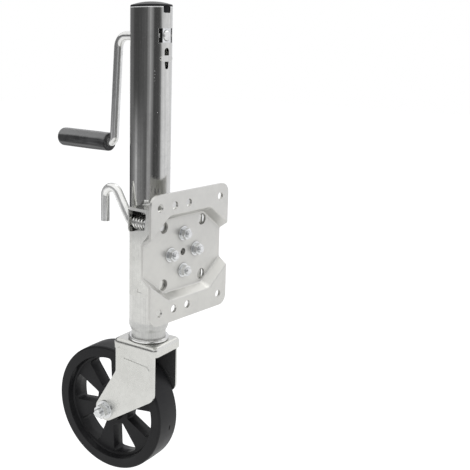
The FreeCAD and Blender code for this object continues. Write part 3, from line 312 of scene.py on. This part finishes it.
def makePanel():
    # a soft bright disc high on the right
    bm = bmesh.new()
    bmesh.ops.create_circle(bm, cap_ends=True, segments=64, radius=panelSet["radius"])
    tilt = Matrix.Rotation(math.radians(panelSet["turn"]), 4, "Y")
    bmesh.ops.transform(bm, verts=bm.verts, matrix=Matrix.Translation(panelSet["place"]) @ tilt)
    material, tree = emptyMaterial("softPanel")
    where = tree.nodes.new("ShaderNodeTexCoord").outputs["Object"]
    away = vectors(tree, "DISTANCE", where, panelSet["place"])["Value"]
    level = between(tree, away, panelSet["core"], panelSet["radius"], panelSet["centre"], panelSet["rim"],
                    interpolation_type="SMOOTHSTEP")
    addGlow("softPanel", bm, material, tree, grey(1), level)


def makeLamps():
    for lamp in studio["lamps"]:
        data = bpy.data.lights.new(lamp["name"], "AREA")
        data.energy = lamp["power"]
        data.size = lamp["size"]
        light = bpy.data.objects.new(lamp["name"], data)
        light.location = lamp["place"]
        aim = Vector(lamp["aim"]) - Vector(lamp["place"])
        light.rotation_euler = aim.to_track_quat("-Z", "Y").to_euler()
        light.visible_camera = False
        light.visible_glossy = False
        bpy.context.scene.collection.objects.link(light)


makeWorld()
makeFloor()
makeRing()
makePanel()
makeLamps()
print("studio ready")


edgeSet = {"samples": 4, "facing": (0.995, 0.86), "specks": 220.0, "speckRange": (0.35, 0.6),
           "strength": (0.45, 0.85)}


def makeEdgeWear():
    # 1 along outside edges, from the angle between the true and the rounded normal
    group, inside, result = newGroup(
        "edgeWear",
        [("Radius", "NodeSocketFloat", 0.0008), ("Amount", "NodeSocketFloat", 1.0),
         ("Vector", "NodeSocketVector", None)],
        [("Mask", "NodeSocketFloat")])
    rounded = put(group, "ShaderNodeBevel", {"Radius": inside["Radius"]},
                  samples=edgeSet["samples"]).outputs[0]
    trueNormal = group.nodes.new("ShaderNodeNewGeometry").outputs["Normal"]
    facing = vectors(group, "DOT_PRODUCT", rounded, trueNormal)["Value"]
    edge = between(group, facing, *edgeSet["facing"])
    specks = noise(group, inside["Vector"], edgeSet["specks"], 4.0)
    patchy = between(group, specks, *edgeSet["speckRange"], *edgeSet["strength"])
    broken = maths(group, "MULTIPLY", edge, patchy)
    group.links.new(maths(group, "MULTIPLY", broken, inside["Amount"], clamp=True), result["Mask"])
    return group


platingSet = {"crystals": 190.0, "crystalShare": 0.16, "spread": (0.38, 0.72),
              "scratchTurn": (0.5, 0.3, 0.7), "scratchStretch": 14.0, "scratchRange": (0.62, 0.76),
              "scratchRough": 0.12, "scratchDepth": -0.35}


def makePlatingBloom():
    # cloudy zinc with faint crystal patches and fine scratches
    group, inside, result = newGroup(
        "platingBloom",
        [("Vector", "NodeSocketVector", None), ("Light", "NodeSocketColor", (0.7, 0.7, 0.68, 1)),
         ("Dark", "NodeSocketColor", (0.6, 0.6, 0.59, 1)), ("Cloud Scale", "NodeSocketFloat", 22.0),
         ("Scratch Scale", "NodeSocketFloat", 160.0), ("Rough Low", "NodeSocketFloat", 0.28),
         ("Rough High", "NodeSocketFloat", 0.42)],
        [("Color", "NodeSocketColor"), ("Roughness", "NodeSocketFloat"), ("Height", "NodeSocketFloat")])
    where = inside["Vector"]
    cloud = noise(group, where, inside["Cloud Scale"], 6.0, Roughness=0.62, Distortion=0.4)
    crystal = put(group, "ShaderNodeTexVoronoi", {"Vector": where, "Scale": platingSet["crystals"],
                                                  "Randomness": 1.0}).outputs["Color"]
    patch = put(group, "ShaderNodeSeparateColor", {"Color": crystal}).outputs[0]
    patchLow = maths(group, "MULTIPLY", patch, platingSet["crystalShare"])
    spread = between(group, maths(group, "ADD", cloud, patchLow), *platingSet["spread"])
    stretch = put(group, "ShaderNodeMapping", {"Vector": where, "Rotation": platingSet["scratchTurn"],
                                               "Scale": (1.0, platingSet["scratchStretch"], 1.0)}).outputs[0]
    thin = between(group, noise(group, stretch, inside["Scratch Scale"], 3.0), *platingSet["scratchRange"])
    rough = between(group, spread, 0.0, 1.0, inside["Rough High"], inside["Rough Low"])
    group.links.new(blend(group, spread, inside["Dark"], inside["Light"]), result["Color"])
    group.links.new(maths(group, "MULTIPLY_ADD", thin, platingSet["scratchRough"], rough),
                    result["Roughness"])
    group.links.new(maths(group, "MULTIPLY_ADD", thin, platingSet["scratchDepth"], cloud), result["Height"])
    return group


def makeNearShade():
    # painted shade: 1 in the open, less in holes, gaps and corners, where it darkens the colour
    group, inside, result = newGroup(
        "nearShade", [("Distance", "NodeSocketFloat", 0.006), ("Strength", "NodeSocketFloat", 0.6)],
        [("Light", "NodeSocketFloat")])
    around = put(group, "ShaderNodeAmbientOcclusion", {"Distance": inside["Distance"]}, samples=8)
    lost = maths(group, "SUBTRACT", 1.0, around.outputs["AO"])
    dark = maths(group, "MULTIPLY", lost, inside["Strength"], clamp=True)
    group.links.new(maths(group, "SUBTRACT", 1.0, dark), result["Light"])
    return group


def makePaintedShadeBox():
    # painted shade: 1 inside a box, such as the room in the bracket or the fork, where the plating is
    # painted dark and dull as shade
    group, inside, result = newGroup(
        "paintedShadeBox",
        [("Vector", "NodeSocketVector", None), ("Centre", "NodeSocketVector", None),
         ("Half", "NodeSocketVector", None)],
        [("Mask", "NodeSocketFloat")])
    away = vectors(group, "ABSOLUTE", vectors(group, "SUBTRACT", inside["Vector"], inside["Centre"])[0])[0]
    x, y, z = parts(group, vectors(group, "SUBTRACT", inside["Half"], away)[0])
    least = maths(group, "MINIMUM", maths(group, "MINIMUM", x, y), z)
    group.links.new(between(group, least, 0.0, 0.0003), result["Mask"])
    return group


edgeWear = makeEdgeWear()
platingBloom = makePlatingBloom()
nearShade = makeNearShade()
paintedShadeBox = makePaintedShadeBox()
print("surface effects ready")


zincFinishes = {
    # light and dark plating; rough: low and high; cloud, scratch and thread: pattern scales; room: a box
    # in which shade is painted as dark, dull plating; wear and shade: strengths, shade being painted shade
    # in holes and corners
    "zincSheet": {"light": (0.645, 0.64, 0.61), "dark": (0.605, 0.60, 0.575), "rough": (0.28, 0.34),
                  "metal": 0.7, "cloud": 14, "scratch": 150, "bump": 0.012, "wear": 0.6, "shade": 0.7},
    "zincPressed": {"light": (0.72, 0.72, 0.69), "dark": (0.67, 0.67, 0.64), "rough": (0.22, 0.30),
                    "metal": 0.9, "cloud": 16, "scratch": 90, "bump": 0.004, "wear": 0.7,
                    # room: painted shade inside the fork
                    "room": {"centre": (0.0, 0.0795, -0.215), "half": (0.0264, 0.0338, 0.0706),
                             "turned": 7.0, "tone": 0.09, "metal": 0.25}},
    "zincBracket": {"light": (0.71, 0.71, 0.68), "dark": (0.63, 0.63, 0.605), "rough": (0.13, 0.22),
                    "metal": 0.93, "cloud": 16, "scratch": 150, "bump": 0.012, "wear": 0.7, "streak": 0.10,
                    # room: painted shade inside the bracket
                    "room": {"centre": (0.0, 0.04695, 0.0), "half": (0.0455, 0.02045, 0.0584),
                             "turned": 0.0, "tone": 0.03, "metal": 0.93}},
    "zincTube": {"light": (0.70, 0.70, 0.675), "dark": (0.61, 0.61, 0.59), "rough": (0.09, 0.15),
                 "metal": 1.0, "cloud": 16, "scratch": 120, "bump": 0.02, "wear": 1.4, "streak": 0.22,
                 "rim": 0.3257, "foot": {"top": -0.110, "fade": 0.004, "rough": 0.26, "metal": -0.45}},
    "zincFastener": {"light": (0.79, 0.80, 0.80), "dark": (0.66, 0.67, 0.675), "rough": (0.12, 0.22),
                     "metal": 0.9, "cloud": 90, "scratch": 300, "bump": 0.012, "wear": 1.0},
    "zincThread": {"light": (0.79, 0.80, 0.80), "dark": (0.66, 0.67, 0.675), "rough": (0.12, 0.22),
                   "metal": 0.9, "cloud": 90, "scratch": 300, "bump": 0.7, "wear": 1.0, "thread": 251.0},
    "weldZinc": {"light": (0.90, 0.90, 0.88), "dark": (0.66, 0.66, 0.65), "rough": (0.14, 0.26),
                 "metal": 0.55, "cloud": 240, "scratch": 400, "bump": 0.12, "wear": 0.2},
    "brightRod": {"light": (0.80, 0.80, 0.785), "dark": (0.66, 0.66, 0.65), "rough": (0.09, 0.17),
                  "metal": 0.86, "cloud": 60, "scratch": 200, "bump": 0.05, "wear": 0.3},
    "brightPin": {"light": (0.90, 0.90, 0.88), "dark": (0.74, 0.74, 0.725), "rough": (0.07, 0.13),
                  "metal": 0.64, "tip": 0.0196, "cloud": 60, "scratch": 200, "bump": 0.05, "wear": 0.3},
    "springWire": {"light": (0.92, 0.92, 0.91), "dark": (0.78, 0.78, 0.77), "rough": (0.05, 0.10),
                   "metal": 1.0, "cloud": 120, "scratch": 300, "bump": 0.03, "wear": 0.3},
    "plainSteel": {"light": (0.42, 0.42, 0.41), "dark": (0.28, 0.28, 0.27), "rough": (0.24, 0.38),
                   "metal": 1.0, "cloud": 60, "scratch": 260, "bump": 0.08, "wear": 0.6},
    # painted shade for the sides of the shaft block, which stand in the dark of the tube
    "paintedShadeSides": {"light": (0.06, 0.06, 0.06), "dark": (0.03, 0.03, 0.03), "rough": (0.4, 0.55),
                  "metal": 0.6, "cloud": 160, "scratch": 400, "bump": 0.02, "wear": 0.3},
    "sinteredSteel": {"light": (0.33, 0.33, 0.33), "dark": (0.20, 0.20, 0.20), "rough": (0.34, 0.5),
                      "metal": 0.95, "cloud": 160, "scratch": 400, "bump": 0.12, "wear": 0.5},
}


tubeSpecks = [
    # small bright nicks on the front of the tube, and their size
    ((-0.0173, 0.0540, 0.2434), 0.0006), ((-0.0170, 0.0538, 0.2390), 0.0005),
    ((-0.0174, 0.0540, 0.2345), 0.0006), ((-0.0171, 0.0539, 0.2303), 0.0005),
    ((-0.0099, 0.0499, 0.2106), 0.0005), ((-0.0136, 0.0516, 0.1883), 0.0007),
]


def nearPoints(tree, where, points):
    # 1 within a small reach of any of the points
    found = 0.0
    for place, size in points:
        inside = between(tree, vectors(tree, "DISTANCE", where, place)["Value"], size, size * 0.5)
        found = maths(tree, "MAXIMUM", found, inside)
    return found


lineSet = {"scale": 420.0, "detail": 4.0, "tone": 0.3}
wearAndHighlightLook = {"radius": 0.0007, "tone": (0.88, 0.88, 0.87, 1), "metal": 0.35}
cutDepth = 0.0002  # how far a bare cut end reaches
bumpDepths = {"plating": 0.001, "thread": 0.0006, "moulding": 0.0004}


def drawnLines(tree, where, squeeze, low, high, most):
    # fine lines along the squeezed axis
    drawn = put(tree, "ShaderNodeMapping", {"Vector": where, "Scale": squeeze}).outputs[0]
    return between(tree, noise(tree, drawn, lineSet["scale"], lineSet["detail"]), low, high, 0.0, most)


def makeZinc(name):
    look = zincFinishes[name]
    material, tree, surface, where = newMaterial(name)
    plating = useGroup(tree, platingBloom, {
        "Vector": where, "Light": (*look["light"], 1), "Dark": (*look["dark"], 1),
        "Cloud Scale": look["cloud"], "Scratch Scale": look["scratch"],
        "Rough Low": look["rough"][0], "Rough High": look["rough"][1]})
    wearAndHighlightMask = useGroup(tree, edgeWear, {"Vector": where, "Radius": wearAndHighlightLook["radius"],
                                        "Amount": look["wear"]})["Mask"]
    if "rim" in look:
        # the cut end of the tube is bare metal, painted pale as a highlight line along the top edge; the
        # nicks are bare and bright
        cutEndHighlight = between(tree, parts(tree, where)[2], look["rim"], look["rim"] + cutDepth)
        wearAndHighlightMask = maths(tree, "MAXIMUM", wearAndHighlightMask, cutEndHighlight)
        wearAndHighlightMask = maths(tree, "MAXIMUM", wearAndHighlightMask, nearPoints(tree, where, tubeSpecks))
    if "tip" in look:
        # the end of the pin is a bare cut, painted pale as a highlight
        cutEndHighlight = between(tree, parts(tree, where)[1], look["tip"], look["tip"] - cutDepth)
        wearAndHighlightMask = maths(tree, "MAXIMUM", wearAndHighlightMask, cutEndHighlight)
    colour = blend(tree, wearAndHighlightMask, plating["Color"], wearAndHighlightLook["tone"])
    metal = between(tree, wearAndHighlightMask, 0.0, 1.0, look["metal"], look["metal"] * wearAndHighlightLook["metal"])
    rough, height, depth = plating["Roughness"], plating["Height"], bumpDepths["plating"]
    if "foot" in look:
        # duller plating on the rolled foot
        foot = look["foot"]
        footed = between(tree, parts(tree, where)[2], foot["top"], foot["top"] - foot["fade"])
        rough = maths(tree, "MULTIPLY_ADD", footed, foot["rough"], rough)
        metal = maths(tree, "MULTIPLY_ADD", footed, foot["metal"], metal)
    if "room" in look:
        # painted shade: dark, dull plating in the room between the walls, which may stand turned about the
        # tube's axis
        room = look["room"]
        unturned = put(tree, "ShaderNodeVectorRotate",
                       {"Vector": where, "Center": tubeAxis, "Angle": -math.radians(room["turned"])},
                       rotation_type="Z_AXIS").outputs[0]
        within = useGroup(tree, paintedShadeBox, {"Vector": unturned, "Centre": room["centre"],
                                             "Half": room["half"]})["Mask"]
        metal = maths(tree, "MULTIPLY", metal,
                      between(tree, within, 0.0, 1.0, 1.0, room["metal"] / look["metal"]))
        colour = blend(tree, within, colour, grey(room["tone"]))
    if "streak" in look:
        colour = blend(tree, drawnLines(tree, where, (1.0, 1.0, 0.02), 0.35, 0.68, look["streak"]),
                       colour, grey(lineSet["tone"]))
    if "thread" in look:
        height = put(tree, "ShaderNodeTexWave", {"Vector": where, "Scale": look["thread"]},
                     wave_type="BANDS", bands_direction="Y", wave_profile="TRI").outputs["Fac"]
        depth = bumpDepths["thread"]
    # painted shade in holes, gaps and corners
    if "shade" in look:
        colour = scaled(tree, colour, useGroup(tree, nearShade, {"Strength": look["shade"]})["Light"])
    bump = put(tree, "ShaderNodeBump", {"Strength": look["bump"], "Distance": depth, "Height": height})
    tree.links.new(colour, surface.inputs["Base Color"])
    tree.links.new(rough, surface.inputs["Roughness"])
    tree.links.new(bump.outputs[0], surface.inputs["Normal"])
    tree.links.new(metal, surface.inputs["Metallic"])
    return material


mouldedFinishes = {
    # base and the pale tone of dusting on it, which on the grip also gives painted light; grain: pattern
    # scale; drawn: strength of the pale streaks, scuffs and painted highlight lines; upper: strength of the
    # painted light on the top side
    "wheelBlack": {"base": (0.012, 0.012, 0.013), "dustAndLitTone": (0.045, 0.045, 0.045), "rough": (0.34, 0.48),
                   "grain": 900, "bump": 0.10, "wear": 0.4, "shine": 0.20,
                   "gate": {"place": (0.0080, 0.0404, -0.2751), "stretch": (700.0, 300.0, 230.0),
                            "tone": 0.004}},
    "gripBlack": {"base": (0.010, 0.010, 0.011), "dustAndLitTone": (0.15, 0.15, 0.15), "rough": (0.22, 0.34),
                  "grain": 1200, "bump": 0.08, "wear": 0.5, "shine": 0.28, "drawn": 0.6,
                  "litTop": 0.95},
    "capBlack": {"base": (0.008, 0.008, 0.009), "dustAndLitTone": (0.03, 0.03, 0.03), "rough": (0.25, 0.36),
                 "grain": 1000, "bump": 0.06, "wear": 0.4, "shine": 0.10},
    "bushingWhite": {"base": (0.78, 0.78, 0.75), "dustAndLitTone": (0.6, 0.6, 0.57), "rough": (0.35, 0.5),
                     "grain": 800, "bump": 0.05, "wear": 0.2, "shine": 0.5},
}


dustSet = {"cloud": 26.0, "range": (0.45, 0.85), "most": 0.35, "edge": 0.0009}


def makeMoulded(name):
    look = mouldedFinishes[name]
    material, tree, surface, where = newMaterial(name)
    cloud = noise(tree, where, dustSet["cloud"], 5.0, Roughness=0.6)
    wear = useGroup(tree, edgeWear, {"Vector": where, "Radius": dustSet["edge"],
                                     "Amount": look["wear"]})["Mask"]
    dustAndLitMask = maths(tree, "ADD", between(tree, cloud, *dustSet["range"], 0.0, dustSet["most"]), wear,
                  clamp=True)
    if "drawn" in look:
        # pale streaks along the grip: scuffs, and painted highlight lines
        lines = drawnLines(tree, where, (1.0, 0.04, 1.0), 0.5, 0.72, look["drawn"])
        dustAndLitMask = maths(tree, "ADD", dustAndLitMask, lines, clamp=True)
    if "litTop" in look:
        # painted light: the top side is made paler, as light falls on it from above
        upward = parts(tree, where.node.outputs["Normal"])[2]
        dustAndLitMask = maths(tree, "ADD", dustAndLitMask, between(tree, upward, -0.1, 0.7, 0.0, look["litTop"]), clamp=True)
    colour = blend(tree, dustAndLitMask, (*look["base"], 1), (*look["dustAndLitTone"], 1))
    rough = between(tree, cloud, 0.3, 0.7, *look["rough"])
    if "gate" in look:
        # the dull dark mark that the mould's gate left on the tread
        gate = look["gate"]
        offset = vectors(tree, "SUBTRACT", where, gate["place"])[0]
        spread = vectors(tree, "MULTIPLY", offset, gate["stretch"])[0]
        spot = between(tree, vectors(tree, "LENGTH", spread)["Value"], 1.3, 0.8)
        colour = blend(tree, spot, colour, grey(gate["tone"]))
        rough = maths(tree, "MAXIMUM", rough, spot)
    bump = put(tree, "ShaderNodeBump", {"Strength": look["bump"], "Distance": bumpDepths["moulding"],
                                        "Height": noise(tree, where, look["grain"], 2.0)})
    tree.links.new(colour, surface.inputs["Base Color"])
    tree.links.new(rough, surface.inputs["Roughness"])
    tree.links.new(bump.outputs[0], surface.inputs["Normal"])
    surface.inputs["Specular IOR Level"].default_value = look["shine"]
    return material


materials = {name: makeZinc(name) for name in zincFinishes}
materials.update({name: makeMoulded(name) for name in mouldedFinishes})
print("materials ready:", len(materials))


finishes = {
    # node: (material, edge rounding in metres)
    "mount_plate": ("zincSheet", 0.0007),
    "pivot_disc": ("zincSheet", 0.0004),
    "retainer_disc": ("zincSheet", 0.0005),
    "swivel_bracket": ("zincBracket", 0.0006),
    "pin_ear": ("zincBracket", 0.0006),
    "fork": ("zincPressed", 0.0006),
    "swivel_race": ("brightRod", 0.0),
    "swivel_bearing": ("plainSteel", 0.0003),
    "outer_tube": ("zincTube", 0.0004),
    "inner_tube": ("zincTube", 0.0004),
    "top_cap": ("capBlack", 0.0005),
    "crank_grip": ("gripBlack", 0.0004),
    "wheel": ("wheelBlack", 0.0009),
    "hub_bushings": ("bushingWhite", 0.0003),
    "crank_handle": ("brightRod", 0.0005),
    "lock_pin": ("brightPin", 0.0005),
    "pin_spring": ("springWire", 0.0),
    "crank_ring": ("springWire", 0.0),
    "pin_collar": ("zincFastener", 0.0),
    "collar_pin": ("zincFastener", 0.0003),
    "swivel_bolts": ("zincThread", 0.0002),
    "swivel_washers": ("zincFastener", 0.0002),
    "swivel_nuts": ("zincFastener", 0.0003),
    "axle_bolt": ("zincFastener", 0.0004),
    "axle_nut": ("zincFastener", 0.0004),
    "axle_washers": ("zincFastener", 0.0003),
    "king_washer": ("zincFastener", 0.0003),
    "guide_rivet": ("zincFastener", 0.0003),
    "front_shaft_block": ("zincFastener", 0.00015),
    "rear_shaft_bush": ("sinteredSteel", 0.0003),
    "thrust_plate": ("zincTube", 0.0006),
    "bevel_pinion": ("plainSteel", 0.0),
    "bevel_gear": ("plainSteel", 0.0),
    "pinion_pin": ("plainSteel", 0.0002),
    "gear_pin": ("plainSteel", 0.0002),
    "lead_screw": ("plainSteel", 0.0003),
    "lead_nut": ("plainSteel", 0.0003),
    "thrust_washer": ("plainSteel", 0.0002),
    "thrust_bearing": ("plainSteel", 0.0002),
    "king_pin": ("plainSteel", 0.0004),
    "axle_sleeve": ("plainSteel", 0.0002),
}


def bodyOf(node):
    return next(name for name, members in frame["record"]["behaviour"]["bodies"].items() if node in members)


dressSet = {"merge": 1e-6, "flat": 0.6, "seam": 32, "segments": 2}  # flat and seam are degrees


def mergedCopy(node):
    bm = bmesh.new()
    bm.from_mesh(nodes[node].data)
    bmesh.ops.remove_doubles(bm, verts=bm.verts, dist=dressSet["merge"])
    bmesh.ops.dissolve_limit(bm, angle_limit=math.radians(dressSet["flat"]), verts=bm.verts, edges=bm.edges)
    return bm


def sharpEdges(bm):
    limit = math.radians(dressSet["seam"])
    return [e for e in bm.edges if len(e.link_faces) == 2 and e.calc_face_angle(0.0) > limit]


def cornerNormals(bm, smoothAngle):
    # area-weighted normals per corner, split at sharp edges, so that flats stay flat beside round edges
    limit = math.radians(smoothAngle)
    soft = {e: len(e.link_faces) == 2 and e.calc_face_angle(9.0) <= limit for e in bm.edges}
    areas = {f: f.calc_area() for f in bm.faces}
    found = {}
    for vert in bm.verts:
        left = list(vert.link_faces)
        while left:
            group = [left.pop(0)]
            for face in group:
                for edge in face.edges:
                    if vert in edge.verts and soft[edge]:
                        for other in edge.link_faces:
                            if other in left:
                                left.remove(other)
                                group.append(other)
            total = Vector((0, 0, 0))
            for face in group:
                total += face.normal * areas[face]
            for face in group:
                found[(face, vert)] = total.normalized() if total.length > 1e-14 else face.normal
    return [found[(face, loop.vert)].copy() for face in bm.faces for loop in face.loops]


def finishMesh(bm, name, material, smoothAngle=dressSet["seam"]):
    bm.normal_update()
    for face in bm.faces:
        face.smooth = True
    normals = cornerNormals(bm, smoothAngle)
    piece = addObject(name, bm, materials[material])
    piece.data.normals_split_custom_set(normals)
    return piece


def dress(node):
    material, rounding = finishes[node]
    bm = mergedCopy(node)
    if rounding > 0:
        bmesh.ops.bevel(bm, geom=sharpEdges(bm), offset=rounding, offset_type="OFFSET", affect="EDGES",
                        segments=dressSet["segments"], profile=0.5, material=-1, clamp_overlap=True)
    piece = finishMesh(bm, node.replace("_", " ").title().replace(" ", "") + "Dressed", material)
    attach(piece, bodyOf(node))
    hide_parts(node)
    return piece


def paintShadeOnSides(piece):
    # painted shade: the sides of the shaft block are coloured near black, as they stay in the dark of the
    # tube
    sideways = 0.9
    piece.data.materials.append(materials["paintedShadeSides"])
    for face in piece.data.polygons:
        if abs(face.normal.x) > sideways:
            face.material_index = 1


dressed = {node: dress(node) for node in finishes}
paintShadeOnSides(dressed["front_shaft_block"])
print("solids dressed:", len(dressed))

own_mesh(dressed["pin_spring"])


weldSet = {"height": 0.0624, "ends": (203, 337), "steps": 90, "radius": 0.0017, "sides": 12,
           "tube": 0.028575, "out": 0.0002, "taper": 4, "least": 0.25, "beat": 1.9, "ripple": 0.12,
           "seam": 70}  # ends are degrees round the tube
lumpSet = {"rise": 0.0038, "ends": (207, 221), "steps": 12, "radius": 0.0027, "out": -0.0008,
           "ripple": 0.2}


def weldBead(name, path, radius, ripple):
    # a run of small overlapping puddles along a path of points
    bm = bmesh.new()
    last = len(path) - 1
    before = None
    for i, point in enumerate(path):
        ahead = (path[min(i + 1, last)] - path[max(i - 1, 0)]).normalized()
        side = ahead.cross(Vector((0, 0, 1))).normalized()
        up = side.cross(ahead)
        swell = min(1.0, math.sin(math.pi * i / last) * weldSet["taper"])
        swell = max(weldSet["least"], swell * (1 + ripple * math.sin(i * weldSet["beat"])))
        stand = Matrix.Translation(point) @ Matrix((side, up, -ahead)).transposed().to_4x4()
        ring = bmesh.ops.create_circle(bm, segments=weldSet["sides"], radius=swell * radius,
                                       matrix=stand)["verts"]
        loop = list(dict.fromkeys(edge for vert in ring for edge in vert.link_edges))
        if before:
            bmesh.ops.bridge_loops(bm, edges=before + loop)
        before = loop
    bmesh.ops.holes_fill(bm, edges=bm.edges, sides=weldSet["sides"])
    bmesh.ops.recalc_face_normals(bm, faces=bm.faces)
    piece = finishMesh(bm, name, "weldZinc", weldSet["seam"])
    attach(piece, "jack")
    return piece


def tubeArc(ends, z, out, steps):
    # points round the outer tube, out from its wall, between two angles
    r = weldSet["tube"] + out
    angles = (math.radians(ends[0] + (ends[1] - ends[0]) * i / steps) for i in range(steps + 1))
    return [Vector((r * math.cos(a), tubeAxis[1] + r * math.sin(a), z)) for a in angles]


for name, side in (("topWeld", 1), ("bottomWeld", -1)):
    weldBead(name, tubeArc(weldSet["ends"], side * weldSet["height"], weldSet["out"], weldSet["steps"]),
             weldSet["radius"], weldSet["ripple"])
weldBead("weldLump", tubeArc(lumpSet["ends"], weldSet["height"] + lumpSet["rise"], lumpSet["out"],
                             lumpSet["steps"]), lumpSet["radius"], lumpSet["ripple"])
print("welds laid")
